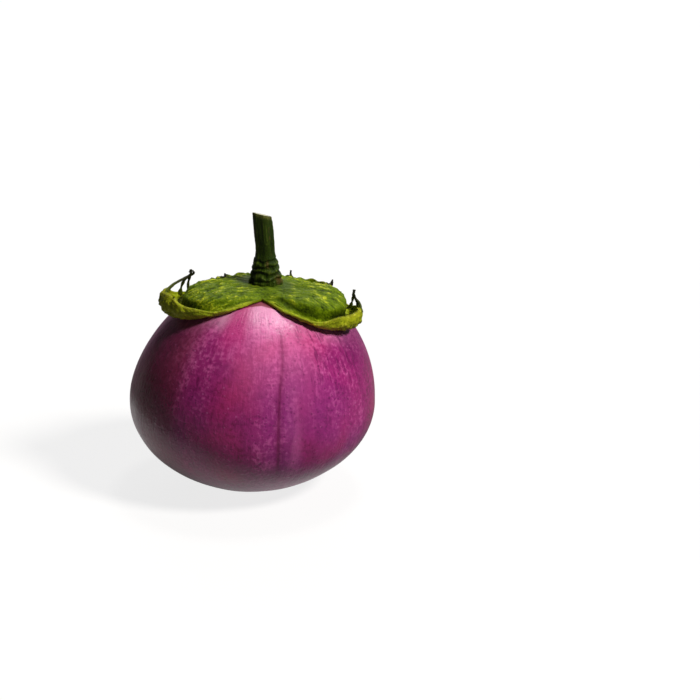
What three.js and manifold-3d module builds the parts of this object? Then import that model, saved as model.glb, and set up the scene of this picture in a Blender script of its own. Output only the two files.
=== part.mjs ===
// A round, squat eggplant as picked: the fruit, the leathery green calyx that clasps its shoulder, and the
// cut stem. Millimetres, +Z up. It stands on its blossom end and leans a little towards +X. Its front is -Y.

import * as THREE from 'three';
import { mergeVertices } from 'three/addons/utils/BufferGeometryUtils.js';
import Module from 'manifold-3d';

const wasm = await Module();
wasm.setup();

// Fruit: its shape about its own axis, with z = 0 at the widest ring
const FRUIT_RADIUS = 60.1;
const CROWN_HEIGHT = 53.4; // widest ring to the top
const BASE_DEPTH = 48.6; // widest ring to the blossom end
const CROWN_POWER = 2.09; // 2 is an ellipse, and more is squarer
const CROWN_POWER_SIDE = 0.22; // added on the +X side, taken off on the other
const BASE_POWER = 1.99;
const BASE_POWER_SIDE = -0.12;
const PEAR = 0.09; // share by which the shoulder is slimmer, and the hips fuller
const DEPTH_SHARE = 0.985; // front to back against side to side
const LEAN = THREE.MathUtils.degToRad(3.55);
const SEAT = 0.9; // how far the resting spot is flattened
const STEM_DIP = { depth: 2.1, radius: 15 };
const BLOSSOM_DIP = { depth: 1.5, radius: 4.2 };
const FRUIT_AROUND = 72;
const FRUIT_RINGS = 34;

// Soft creases that run from the shoulder to the blossom end: azimuth and width in degrees, depth in mm
const CREASES = [
  { azimuth: -77.5, width: 5.5, depth: 0.75 },
  { azimuth: -121, width: 9, depth: 0.5 },
  { azimuth: -38, width: 8, depth: 0.55 },
  { azimuth: 12, width: 10, depth: 0.6 },
  { azimuth: 66, width: 9, depth: 0.65 },
  { azimuth: 117, width: 8, depth: 0.6 },
  { azimuth: 172, width: 10, depth: 0.6 },
];

// Calyx: laid out flat about its own centre, in mm along the skin, then wrapped over the shoulder
const CALYX_CENTRE_X = 2.6; // its centre stands this far from the fruit's own axis
const SKIN_GAP = 0.35;
const CALYX_CROWN = 2.9; // thickness under the stem and round it
const CALYX_MARGIN = 1.3; // thickness at the margin
const CALYX_SEAT = 9.5; // the stem stands within this radius
const VEINS = { height: 0.32, fans: 2.5 }; // ridges that fan out over a lobe, counted to each side
const WAVES = { height: 0.5, count: 31 }; // the margin's waves, counted all round
const PUFF = { margin: 5.5, from: 12, to: 37 }; // how far in from the margin, and past the stem, a lobe swells
const BLADE_RINGS = 8;
const ROLL_RINGS = 6;
const SIDE_STEPS = 9; // outline steps from a notch to a tip

// Each lobe: its azimuth in degrees, its blade's length and its half widths, clockwise side first, how its
// tip rolls up past the blade, as the length that rolls and the roll's radius, and how much its flesh puffs up
const LOBES = [
  { azimuth: -21, length: 46, widths: [25.4, 19], roll: 14.5, radius: 5, puff: 6 },
  { azimuth: 37, length: 34.5, widths: [9.6, 8.6], roll: 6, radius: 3, puff: 1 },
  { azimuth: 82.5, length: 34, widths: [8.6, 8.6], roll: 4, radius: 2.6, puff: 0.3 },
  { azimuth: 128, length: 31.5, widths: [9.2, 10], roll: 3.5, radius: 2.5, puff: 0.3 },
  { azimuth: 192, length: 44, widths: [17.5, 24.5], roll: 18, radius: 6.2, puff: 4.2 },
];
// The notch after each lobe, as seen from above and counter-clockwise
const NOTCHES = [
  { azimuth: 15, distance: 26 },
  { azimuth: 60, distance: 24 },
  { azimuth: 105, distance: 24 },
  { azimuth: 155, distance: 25 },
  { azimuth: 265.5, distance: 19 },
];
const SIDE_ROLL = { roll: 4, radius: 2.6 }; // along a lobe's sides
const NOTCH_ROLL = 0.6;

// The dried threads at each lobe's tip: how many, how many outline steps from the tip the first and the last
// grow, and where they draw together: how far inwards and how high above their roots
const THREADS = [
  { count: 3, from: 1, to: 4, inwards: 1.5, rise: 6.5 },
  { count: 2, from: -2, to: 0, inwards: -4, rise: -0.4 },
  { count: 1, from: -5, to: -5, inwards: -1, rise: 1 },
  { count: 2, from: -1, to: 1, inwards: 2, rise: 0.5 },
  { count: 4, from: -5, to: -1, inwards: 8.1, rise: 9.2 },
];
const THREAD = { root: 0.62, point: 0.36, sides: 5, steps: 7, hook: 2.4 };

// Stem: its centre line stands on the calyx, and its sections go from the foot to the cut
const STEM_LENGTH = 33;
const STEM_BEND_X = -4.2; // how far the cut end stands from above the foot
const STEM_SIDES = 18;
const STEM_STEPS = 24;
const STEM_RADII = [7.8, 7.3, 6.45, 5.8, 5, 4.35, 4.3, 4.5, 4.65, 4.7, 4.7, 4.55]; // at equal heights
const STEM_RINGS = { from: 1.5, to: 13.5, count: 4, height: 0.5 };
const STEM_RIDGES = { count: 5, height: 0.22 };
const STEM_CUT_SLOPE = { x: -0.16, y: -0.2 }; // the cut end's slope across and front to back

const deg = THREE.MathUtils.degToRad;
const smooth = (x, from, to) => THREE.MathUtils.smoothstep(x, from, to);
const bell = (x) => Math.exp(-x * x);

// The smallest turn from one angle to another, in radians
const turn = (from, to) => Math.atan2(Math.sin(to - from), Math.cos(to - from));

// A seeded draw in 0..1, the same on every run
function seeded(seed) {
  let state = seed;
  return () => {
    state = (state * 1664525 + 1013904223) % 4294967296;
    return state / 4294967296;
  };
}

// A point of the skin: theta runs round from +X, u runs from 0 at the crown to pi at the blossom end
function skinAt(theta, u) {
  const upper = u < Math.PI / 2;
  const side = Math.cos(theta);
  const power = upper ? CROWN_POWER + CROWN_POWER_SIDE * side : BASE_POWER + BASE_POWER_SIDE * side;
  const s = Math.max(Math.sin(u), 0);
  const c = Math.cos(u);
  const creaseAt = (k) => k.depth * bell(turn(deg(k.azimuth), theta) / deg(k.width));
  const crease = CREASES.reduce((sum, k) => sum + creaseAt(k), 0);
  const r = FRUIT_RADIUS * Math.pow(s, 2 / power) * (1 - PEAR * c * s * s) - crease * s * s;
  let z = (upper ? CROWN_HEIGHT : -BASE_DEPTH) * Math.pow(Math.abs(c), 2 / power);
  z -= upper ? STEM_DIP.depth * bell(r / STEM_DIP.radius) : 0;
  z += upper ? 0 : BLOSSOM_DIP.depth * bell(r / BLOSSOM_DIP.radius);
  return new THREE.Vector3(r * Math.cos(theta), DEPTH_SHARE * r * Math.sin(theta), z);
}

// A point of the skin under a point of the calyx's flat layout
function skinUnder(x, y) {
  const theta = Math.atan2(y, x + CALYX_CENTRE_X);
  const share = Math.sin(Math.hypot(x + CALYX_CENTRE_X, y) / FRUIT_RADIUS);
  const power = CROWN_POWER + CROWN_POWER_SIDE * Math.cos(theta);
  return skinAt(theta, Math.asin(Math.pow(share, power / 2)));
}

// The skin's normal there, and its tangent towards an azimuth of the layout
function frameUnder(x, y, azimuth) {
  const step = 0.4;
  const [ax, ay] = [Math.cos(azimuth) * step, Math.sin(azimuth) * step];
  const along = skinUnder(x + ax, y + ay).sub(skinUnder(x - ax, y - ay));
  const across = skinUnder(x - ay, y + ax).sub(skinUnder(x + ay, y - ax));
  const normal = along.clone().cross(across).normalize();
  return { normal, along: along.normalize() };
}

// One closed body from rings that run counter-clockwise as seen from the first pole. Bands past `turned` are
// split along the other diagonal, so that both faces of a thin sheet have the same triangles.
function bodyOfRings(firstPole, rings, lastPole, turned = Infinity) {
  const around = rings[0].length;
  const points = [firstPole, ...rings.flat(), lastPole];
  const index = [];
  const at = (ring, i) => 1 + ring * around + (i % around);
  for (let i = 0; i < around; i++) {
    index.push(0, at(0, i), at(0, i + 1));
    index.push(points.length - 1, at(rings.length - 1, i + 1), at(rings.length - 1, i));
  }
  for (let ring = 0; ring + 1 < rings.length; ring++) {
    for (let i = 0; i < around; i++) {
      const [a, b, c, d] = [at(ring, i), at(ring + 1, i), at(ring + 1, i + 1), at(ring, i + 1)];
      index.push(...(ring < turned ? [a, b, c, a, c, d] : [a, b, d, b, c, d]));
    }
  }
  const geometry = new THREE.BufferGeometry().setFromPoints(points);
  geometry.setIndex(index);
  return geometry;
}

// Solid joins with manifold-3d
function solidOf(geometry) {
  const bare = geometry.clone();
  bare.deleteAttribute('normal');
  bare.deleteAttribute('uv');
  const merged = mergeVertices(bare, 1e-4);
  return new wasm.Manifold(
    new wasm.Mesh({
      numProp: 3,
      vertProperties: new Float32Array(merged.attributes.position.array),
      triVerts: new Uint32Array(merged.index.array),
    })
  );
}

function geometryOf(solid) {
  const mesh = solid.getMesh();
  const geometry = new THREE.BufferGeometry();
  geometry.setAttribute('position', new THREE.BufferAttribute(new Float32Array(mesh.vertProperties), 3));
  geometry.setIndex(new THREE.BufferAttribute(new Uint32Array(mesh.triVerts), 1));
  return geometry;
}

// Fruit: rings of skin, pressed flat where it rests. `up` is the world's up in the leaning fruit's own frame.
const up = new THREE.Vector3(-Math.sin(LEAN), 0, Math.cos(LEAN));

function fruitRings() {
  const rings = [];
  for (let ring = 1; ring < FRUIT_RINGS; ring++) {
    const v = ring / FRUIT_RINGS;
    const u = Math.PI * v - 0.25 * Math.sin(2 * Math.PI * v); // closer together towards both ends
    rings.push(Array.from({ length: FRUIT_AROUND }, (_, i) => skinAt((2 * Math.PI * i) / FRUIT_AROUND, u)));
  }
  return rings;
}

const bareRings = fruitRings();
const blossomEnd = skinAt(0, Math.PI);
const lowest = Math.min(...bareRings.flat().map((p) => p.dot(up)));
const floor = lowest + SEAT;
const press = (p) => p.addScaledVector(up, Math.max(0, floor - p.dot(up)));

function fruitGeometry() {
  return bodyOfRings(skinAt(0, 0), bareRings.map((ring) => ring.map(press)), press(blossomEnd));
}

// The blade's outline: from a notch, along a lobe's side, round its tip and back to the next notch. Each
// point has its place in the flat layout, its outward normal's azimuth, and q, which is -1 and 1 at the
// lobe's notches and 0 at its tip.
function outline() {
  const points = [];
  LOBES.forEach((lobe, k) => {
    const side = (notch, width) => {
      const off = deg(notch.azimuth - lobe.azimuth);
      const start = new THREE.Vector2(Math.cos(off), Math.sin(off)).multiplyScalar(notch.distance);
      const swell = new THREE.Vector2(THREE.MathUtils.lerp(start.x, lobe.length, 0.36), width);
      const shoulder = new THREE.Vector2(lobe.length * 0.945, width);
      const tip = new THREE.Vector2(lobe.length, 0);
      return new THREE.CubicBezierCurve(start, swell, shoulder, tip).getSpacedPoints(SIDE_STEPS).slice(0, -1);
    };
    const rising = side(NOTCHES[(k + LOBES.length - 1) % LOBES.length], -lobe.widths[0]);
    const falling = side(NOTCHES[k], lobe.widths[1]).reverse();
    const tip = new THREE.Vector2(lobe.length, 0);
    [...rising, tip, ...falling.slice(0, -1)].forEach((p, j) => {
      const place = p.rotateAround(new THREE.Vector2(), deg(lobe.azimuth));
      points.push({ lobe, place, q: (j - SIDE_STEPS) / SIDE_STEPS });
    });
  });
  points.forEach((p, i) => {
    const back = points.at(i - 1).place.clone().sub(p.place).normalize();
    const run = points[(i + 1) % points.length].place.clone().sub(p.place).normalize().sub(back);
    p.azimuth = Math.atan2(run.y, run.x) - Math.PI / 2;
    const tipward = 1 - Math.abs(p.q);
    const wave = WAVES.height * Math.sin((2 * Math.PI * WAVES.count * i) / points.length);
    const ends = smooth(tipward, 0.42, 0.95);
    const sides = THREE.MathUtils.lerp(NOTCH_ROLL, SIDE_ROLL.roll, smooth(tipward, 0.12, 0.55));
    p.roll = THREE.MathUtils.lerp(sides, p.lobe.roll, ends) + wave * smooth(tipward, 0.3, 0.7);
    p.radius = THREE.MathUtils.lerp(SIDE_ROLL.radius, p.lobe.radius, ends);
  });
  return points;
}

// A point of the calyx. Reach 0 is its centre, 1 the blade's outline, and from there to 2 the margin rolls up
// off the fruit. Face is 1 on top, -1 underneath and 0 in between.
function calyxPoint(edge, reach, face) {
  const out = Math.min(reach, 1);
  const { x, y } = edge.place.clone().multiplyScalar(out);
  const distance = Math.hypot(x, y);
  const rolled = (Math.max(reach - 1, 0) * edge.roll) / edge.radius;
  const taper = smooth((distance - CALYX_SEAT) / (edge.place.length() - CALYX_SEAT), 0, 1.1);
  const fan = VEINS.height * Math.cos(2 * Math.PI * VEINS.fans * edge.q) * smooth(distance, CALYX_SEAT, 22);
  const inset = (1 - out) * (edge.place.x * Math.cos(edge.azimuth) + edge.place.y * Math.sin(edge.azimuth));
  const swell = smooth(inset, 0.5, PUFF.margin) * smooth(distance, PUFF.from, PUFF.to);
  const bare = THREE.MathUtils.lerp(CALYX_CROWN, CALYX_MARGIN, taper);
  const thick = bare + fan * (2 - reach) * 0.5 + edge.lobe.puff * swell;
  const frame = frameUnder(x, y, edge.azimuth);
  const [c, s] = [Math.cos(rolled), Math.sin(rolled)];
  return skinUnder(x, y)
    .addScaledVector(frame.normal, SKIN_GAP + thick / 2 + edge.radius * (1 - c) + (face * thick * c) / 2)
    .addScaledVector(frame.along, edge.radius * s - (face * thick * s) / 2);
}

function calyxSheet() {
  const edges = outline();
  const blade = Array.from({ length: BLADE_RINGS }, (_, j) => 1 - Math.pow(1 - (j + 1) / BLADE_RINGS, 1.6));
  const roll = Array.from({ length: ROLL_RINGS }, (_, j) => 1 + (j + 1) / ROLL_RINGS);
  const reaches = [...blade, ...roll];
  const face = (side) => reaches.map((reach) => edges.map((edge) => calyxPoint(edge, reach, side)));
  const rings = [...face(1), ...face(-1).reverse()];
  return bodyOfRings(calyxPoint(edges[0], 0, 1), rings, calyxPoint(edges[0], 0, -1), reaches.length);
}

// A tapered round body along a line of points, from its thin end to its root
function taperedBody(line, radii, sides) {
  const curve = new THREE.CatmullRomCurve3(line);
  const frames = curve.computeFrenetFrames(line.length - 1, false);
  const rings = line.map((p, j) =>
    Array.from({ length: sides }, (_, i) => {
      const a = (-2 * Math.PI * i) / sides;
      return p
        .clone()
        .addScaledVector(frames.normals[j], radii[j] * Math.cos(a))
        .addScaledVector(frames.binormals[j], radii[j] * Math.sin(a));
    })
  );
  return bodyOfRings(line[0].clone(), rings, line.at(-1).clone());
}

// Dried threads: they leave the rolled tip's margin side by side, draw together above it and end in a hook
function threads(k, edges, draw) {
  const { count, from, to, inwards, rise } = THREADS[k];
  const tip = edges.findIndex((edge) => edge.lobe === LOBES[k] && edge.q === 0);
  const roots = Array.from({ length: count }, (_, i) => {
    const share = count > 1 ? i / (count - 1) : 0;
    return edges[tip + Math.round(THREE.MathUtils.lerp(from, to, share))];
  });
  const middle = roots.reduce((sum, edge) => sum.add(calyxPoint(edge, 2, 0)), new THREE.Vector3());
  const inward = new THREE.Vector3(-Math.cos(deg(LOBES[k].azimuth)), -Math.sin(deg(LOBES[k].azimuth)), 0);
  const apex = middle.divideScalar(count).addScaledVector(inward, inwards);
  apex.z += rise;
  return roots.map((edge) => {
    const start = calyxPoint(edge, 1.88, 0);
    const loose = new THREE.Vector3(draw() - 0.5, draw() - 0.5, draw() - 0.5).multiplyScalar(2.2);
    const neck = apex.clone().add(loose);
    const bow = start.clone().lerp(neck, 0.45).addScaledVector(inward, -1.1 * draw());
    bow.z += 0.8 * draw();
    const end = neck.clone().addScaledVector(inward, -0.4 * THREAD.hook * draw());
    end.z += THREAD.hook * (0.6 + 0.4 * draw());
    const curve = new THREE.CatmullRomCurve3([end, neck, bow, start]);
    const line = curve.getPoints(THREAD.steps);
    const radii = line.map((_, j) => THREE.MathUtils.lerp(THREAD.point, THREAD.root, j / THREAD.steps));
    return taperedBody(line, radii, THREAD.sides);
  });
}

function calyxGeometry() {
  const draw = seeded(5);
  const edges = outline();
  const loose = LOBES.flatMap((_, k) => threads(k, edges, draw));
  return geometryOf(loose.reduce((body, thread) => body.add(solidOf(thread)), solidOf(calyxSheet())));
}

// Stem: a profile by height, with wrinkled rings low down and faint ridges above them
function stemRadius(height, theta) {
  const at = (height / STEM_LENGTH) * (STEM_RADII.length - 1);
  const step = Math.min(Math.floor(at), STEM_RADII.length - 2);
  const radius = THREE.MathUtils.lerp(STEM_RADII[step], STEM_RADII[step + 1], smooth(at - step, 0, 1));
  const along = (height - STEM_RINGS.from) / (STEM_RINGS.to - STEM_RINGS.from);
  const inside = smooth(along, 0, 0.1) * (1 - smooth(along, 0.85, 1));
  const wrinkle = STEM_RINGS.height * Math.cos(2 * Math.PI * STEM_RINGS.count * along) * inside;
  return radius + wrinkle + STEM_RIDGES.height * Math.cos(STEM_RIDGES.count * theta) * smooth(height, 4, 14);
}

function stemGeometry() {
  const foot = skinUnder(0, 0).add(new THREE.Vector3(0, 0, CALYX_CROWN + 2 * SKIN_GAP));
  const section = (height) => (theta) => {
    const share = height / STEM_LENGTH;
    const r = stemRadius(height, theta);
    const [x, y] = [r * Math.cos(theta), r * Math.sin(theta)];
    const slope = (STEM_CUT_SLOPE.x * x + STEM_CUT_SLOPE.y * y) * smooth(share, 0.55, 1);
    const bend = STEM_BEND_X * Math.pow(share, 1.6);
    return new THREE.Vector3(foot.x + bend + x, foot.y + y, foot.z + height + slope);
  };
  // The foot follows the calyx, a gap above it
  const footing = (r) => (theta) => {
    const [x, y] = [r * Math.cos(theta), r * Math.sin(theta)];
    return skinUnder(x, y).addScaledVector(frameUnder(x, y, theta).normal, CALYX_CROWN + 2 * SKIN_GAP);
  };
  const around = Array.from({ length: STEM_SIDES }, (_, i) => (2 * Math.PI * i) / STEM_SIDES);
  const ring = (place) => around.map(place);
  const heights = Array.from({ length: STEM_STEPS }, (_, j) => STEM_LENGTH * (1 - j / STEM_STEPS));
  const rings = heights.map((height) => ring(section(height)));
  rings.push(ring(footing(STEM_RADII[0])), ring(footing(STEM_RADII[0] / 2)));
  const top = rings[0].reduce((sum, p) => sum.add(p), new THREE.Vector3()).divideScalar(STEM_SIDES);
  return bodyOfRings(top, rings, footing(0)(0));
}

// The eggplant, leaning, with its resting spot on z = 0 and its bounding box centred over the origin
const mesh = (name, geometry, material) => {
  const made = new THREE.Mesh(geometry, new THREE.MeshStandardMaterial(material));
  made.name = name;
  return made;
};

const plant = new THREE.Group();
plant.add(mesh('fruit', fruitGeometry(), { color: 0xa8377a, roughness: 0.28, metalness: 0 }));
plant.add(mesh('calyx', calyxGeometry(), { color: 0x6a7f1c, roughness: 0.7, metalness: 0 }));
plant.add(mesh('stem', stemGeometry(), { color: 0x2d3f10, roughness: 0.65, metalness: 0 }));
plant.rotation.y = LEAN;
plant.updateMatrixWorld(true);
const middle = new THREE.Box3().setFromObject(plant, true).getCenter(new THREE.Vector3());
plant.position.set(-middle.x, -middle.y, -floor);

const eggplant = new THREE.Group();
eggplant.add(plant);

export default eggplant;
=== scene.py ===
# A round, squat eggplant as picked, on a pale floor: its glossy fruit, the leathery calyx on the shoulder
# with its dried threads, and the cut stem. Metres, +Z up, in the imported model's frame. Its front is -Y.
# Shapes are worked out in millimetres in the plant's own frame, with z = 0 at the fruit's widest ring, from
# the same driving sizes as the solids. stand() leans them and sets them in the model's frame.

import math
from functools import reduce
from types import SimpleNamespace

import bpy
import numpy as np
from mathutils import Euler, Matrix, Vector


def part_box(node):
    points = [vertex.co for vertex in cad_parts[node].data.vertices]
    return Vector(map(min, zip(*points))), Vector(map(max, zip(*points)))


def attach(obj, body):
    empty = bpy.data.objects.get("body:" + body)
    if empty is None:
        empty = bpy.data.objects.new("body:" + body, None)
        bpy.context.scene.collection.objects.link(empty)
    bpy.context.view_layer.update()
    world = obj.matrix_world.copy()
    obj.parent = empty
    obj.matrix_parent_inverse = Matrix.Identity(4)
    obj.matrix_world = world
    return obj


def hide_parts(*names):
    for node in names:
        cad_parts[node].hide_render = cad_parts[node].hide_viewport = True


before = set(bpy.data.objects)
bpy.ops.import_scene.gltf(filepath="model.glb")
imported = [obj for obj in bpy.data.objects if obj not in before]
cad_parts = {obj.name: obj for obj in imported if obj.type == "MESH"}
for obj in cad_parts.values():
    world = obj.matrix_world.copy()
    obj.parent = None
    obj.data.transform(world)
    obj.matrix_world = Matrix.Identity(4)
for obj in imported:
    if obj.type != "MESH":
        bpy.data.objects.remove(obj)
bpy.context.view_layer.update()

# Fruit
FRUIT_RADIUS = 60.1
CROWN_HEIGHT = 53.4
BASE_DEPTH = 48.6
CROWN_POWER = 2.09  # 2 is an ellipse, and more is squarer
CROWN_POWER_SIDE = 0.22  # added on the +X side, taken off on the other
BASE_POWER = 1.99
BASE_POWER_SIDE = -0.12
PEAR = 0.09  # share by which the shoulder is slimmer, and the hips fuller
DEPTH_SHARE = 0.985
LEAN = math.radians(3.55)
STEM_DIP_DEPTH = 2.1
STEM_DIP_RADIUS = 15
BLOSSOM_DIP_DEPTH = 1.5
BLOSSOM_DIP_RADIUS = 4.2
LUMP_HEIGHTS = (0.1, 0.045)  # of the skin's wide lumps, and of its narrow lengthwise ones
FRUIT_AROUND = 420
FRUIT_RINGS = 210

# Soft creases from the shoulder to the blossom end: azimuth and width in degrees, depth in mm
CREASES = [(-77.5, 5.5, 0.75), (-121, 9, 0.5), (-38, 8, 0.55), (12, 10, 0.6)]
CREASES += [(66, 9, 0.65), (117, 8, 0.6), (172, 10, 0.6)]

# Calyx, laid out flat about its own centre, in mm along the skin
CALYX_CENTRE_X = 2.6
SKIN_GAP = 0.35
CALYX_CROWN = 2.9
CALYX_MARGIN = 1.3
CALYX_SEAT = 9.5
VEIN_HEIGHT = 0.32
VEIN_FANS = 2.5
RIB_HEIGHT = 0.34
RIB_WIDTH = 3.6
RIB_LENGTH = 15
FINE_VEIN_HEIGHT = 0.2
WRINKLE_HEIGHT = 0.13
WRINKLE_WIDTH = 6.5
CRUMPLE_HEIGHT = 0.42
CRUMPLE_WIDTH = 4
WAVE_HEIGHT = 0.5
WAVE_COUNT = 31
PUCKER_LENGTH = 0.3  # added to the roll, and a share of its radius
PUCKER_SHARE = 0.03
PUFF_MARGIN = 5.5  # how far in from the margin a lobe swells
PUFF_FROM = 12  # and how far past the stem
PUFF_TO = 37
SIDE_STEPS = 54  # outline steps from a notch to a tip
BLADE_RINGS = 44
ROLL_RINGS = 26

# Each lobe: azimuth in degrees, blade length, half widths with the clockwise side first, the length that
# rolls up at its tip, the roll's radius, and how much its flesh puffs up
LOBES = [
    (-21, 46, (25.4, 19), 14.5, 5, 6),
    (37, 34.5, (9.6, 8.6), 6, 3, 1),
    (82.5, 34, (8.6, 8.6), 4, 2.6, 0.3),
    (128, 31.5, (9.2, 10), 3.5, 2.5, 0.3),
    (192, 44, (17.5, 24.5), 18, 6.2, 4.2),
]
# The notch after each lobe, counter-clockwise: azimuth in degrees and distance
NOTCHES = [(15, 26), (60, 24), (105, 24), (155, 25), (265.5, 19)]
SIDE_ROLL = 4
SIDE_ROLL_RADIUS = 2.6
NOTCH_ROLL = 0.6
EDGE_ROUND = 0.35
GROOVE_DEPTH = 0.8  # the valley along the inside of the rolled margin
GROOVE_INSET = 2.2
GROOVE_WIDTH = 1.1

# Dried threads at each tip: count, outline ninths from the tip of the first and last, and where they draw
# together, inwards from their roots and above them
THREADS = [
    (3, 1, 4, 1.5, 6.5),
    (2, -2, 0, -4, -0.4),
    (1, -5, -5, -1, 1),
    (2, -1, 1, 2, 0.5),
    (4, -5, -1, 8.1, 9.2),
]
THREAD_ROOT = 0.72
THREAD_POINT = 0.42
THREAD_HOOK = 2.4
THREAD_SCATTER = 2.2
THREAD_BOW = 1.1
THREAD_STEPS = 40
THREAD_SIDES = 12

# Stem
STEM_LENGTH = 33
STEM_BEND_X = -4.2
STEM_BEND_POWER = 1.4
STEM_RADII = [7.8, 7.3, 6.45, 5.8, 5.1, 4.6, 4.6, 4.7, 4.75, 4.75, 4.7, 4.55]  # at equal heights
STEM_RING_FROM = 1.5
STEM_RING_TO = 13.5
STEM_RING_COUNT = 4
STEM_RING_HEIGHT = 0.5
STEM_RIDGE_COUNT = 5
STEM_RIDGE_HEIGHT = 0.22
STEM_RIB_HEIGHT = 0.07
STEM_PLEAT_HEIGHT = 0.35
STEM_PRESS = 0.3  # how far its foot is pressed into the calyx
STEM_CUT_SLOPE_X = -0.16
STEM_CUT_SLOPE_Y = -0.2
STEM_AROUND = 144
STEM_RINGS = 220

# Camera: its place about the fruit's middle, and where that middle lies in the 700 pixel frame
VIEW_ELEVATION = math.radians(20)
VIEW_DISTANCE = 0.9
MM_PER_PIXEL = 0.49
FRAME_PIXELS = 700
MIDDLE_PIXEL = (253.3, 388.7)


def smooth(x, start, end):
    """0 up to start, 1 from end on, and a soft S between them."""
    t = np.clip((x - start) / (end - start), 0, 1)
    return t * t * (3 - 2 * t)


def bell(x):
    """1 at x = 0, falling to either side as exp(-x squared)."""
    return np.exp(-x * x)


def lerp(a, b, t):
    """a at t = 0, b at t = 1, and a straight line between them."""
    return a + (b - a) * t


def stacked(*parts):
    """Vectors from arrays of their parts."""
    return np.stack(parts, axis=-1)


def turn(start, end):
    """The smallest turn from one angle to another, in radians."""
    return np.arctan2(np.sin(end - start), np.cos(end - start))


def seeded(seed):
    """A draw in 0..1, the same on every run."""
    state = seed

    def draw():
        nonlocal state
        state = (state * 1664525 + 1013904223) % 4294967296
        return state / 4294967296

    return draw


def ripples(points, seed, waves=28):
    """A random field of about unit size and unit wavelength: plane waves of near wavelengths added up, each
    with a drawn direction and phase."""
    drawn = np.random.default_rng(seed)
    directions = drawn.normal(size=(waves, points.shape[-1]))
    directions /= np.linalg.norm(directions, axis=1)[:, None]
    directions *= 2 * np.pi * drawn.uniform(0.7, 1.4, (waves, 1))
    phases = drawn.uniform(0, 2 * np.pi, waves)
    total = np.zeros(points.shape[:-1])
    for direction, phase in zip(directions, phases):
        total += np.cos(points @ direction + phase)
    return total / math.sqrt(waves / 2)


def ridged(points, seed):
    """Sharp ridges along the zero lines of a random field: 1 on a ridge, and about -1 between them."""
    return 1 - 2 * np.tanh(np.abs(ripples(points, seed)) * 1.1)


def skin_at(theta, u):
    """A point of the skin. Its radius is the fruit's times sin(u)^(2 / power), times the pear's taper, less
    the creases. Its height is cos(u)^(2 / power) of the crown's or the base's, less the dip at either end."""
    upper = u < np.pi / 2
    side = np.cos(theta)
    power = np.where(upper, CROWN_POWER + CROWN_POWER_SIDE * side, BASE_POWER + BASE_POWER_SIDE * side)
    s = np.clip(np.sin(u), 0, 1)
    c = np.cos(u)
    crease = sum(k[2] * bell(turn(math.radians(k[0]), theta) / math.radians(k[1])) for k in CREASES)
    r = FRUIT_RADIUS * s ** (2 / power) * (1 - PEAR * c * s * s) - crease * s * s
    z = np.where(upper, CROWN_HEIGHT, -BASE_DEPTH) * np.abs(c) ** (2 / power)
    z = z - np.where(upper, STEM_DIP_DEPTH * bell(r / STEM_DIP_RADIUS), 0)
    z = z + np.where(upper, 0, BLOSSOM_DIP_DEPTH * bell(r / BLOSSOM_DIP_RADIUS))
    return stacked(r * np.cos(theta), DEPTH_SHARE * r * np.sin(theta), z)


def skin_under(x, y):
    """The point of the skin under a point of the calyx's flat layout."""
    theta = np.arctan2(y, x + CALYX_CENTRE_X)
    share = np.sin(np.hypot(x + CALYX_CENTRE_X, y) / FRUIT_RADIUS)
    power = CROWN_POWER + CROWN_POWER_SIDE * np.cos(theta)
    return skin_at(theta, np.arcsin(share ** (power / 2)))


def unit(vectors):
    """The vectors' directions."""
    return vectors / np.linalg.norm(vectors, axis=-1, keepdims=True)


def frame_under(x, y, azimuth):
    """The skin's normal there, and its tangent towards an azimuth of the layout, from points a step apart."""
    step = 0.4
    ax = step * np.cos(azimuth)
    ay = step * np.sin(azimuth)
    along = skin_under(x + ax, y + ay) - skin_under(x - ax, y - ay)
    across = skin_under(x - ay, y + ax) - skin_under(x + ay, y - ax)
    return unit(np.cross(along, across)), unit(along)


def lean(points):
    """The plant's own frame turned about Y by its lean."""
    x, y, z = np.moveaxis(points, -1, 0)
    c, s = math.cos(LEAN), math.sin(LEAN)
    return stacked(x * c + z * s, y, z * c - x * s)


def fruit_grid():
    """Angles of the skin's grid: theta runs round, and u from the crown to the blossom end, closer together
    towards both ends."""
    v = np.arange(1, FRUIT_RINGS) / FRUIT_RINGS
    u = np.pi * v - 0.25 * np.sin(2 * np.pi * v)
    theta = 2 * np.pi * np.arange(FRUIT_AROUND) / FRUIT_AROUND
    return np.meshgrid(theta, u)


def own_origin():
    """Where the plant's own origin stands in the model's frame, in mm, so that the fruit fits its solid."""
    lowest, highest = (np.array(corner) * 1000 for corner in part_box("fruit"))
    skin = lean(skin_at(*fruit_grid())).reshape(-1, 3)
    middle = (skin.min(0) + skin.max(0)) / 2
    x, y = (lowest + highest)[:2] / 2 - middle[:2]
    return np.array([x, y, highest[2] - skin[:, 2].max()])


ORIGIN = own_origin()


def stand(points):
    """Leans points of the plant's own frame and gives them in metres in the model's frame, none below its
    resting plane."""
    placed = lean(points) + ORIGIN
    placed[..., 2] = np.maximum(placed[..., 2], 0)
    return placed / 1000


def added(name, data):
    """A new object in the scene."""
    made = bpy.data.objects.new(name, data)
    bpy.context.scene.collection.objects.link(made)
    return made


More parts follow.
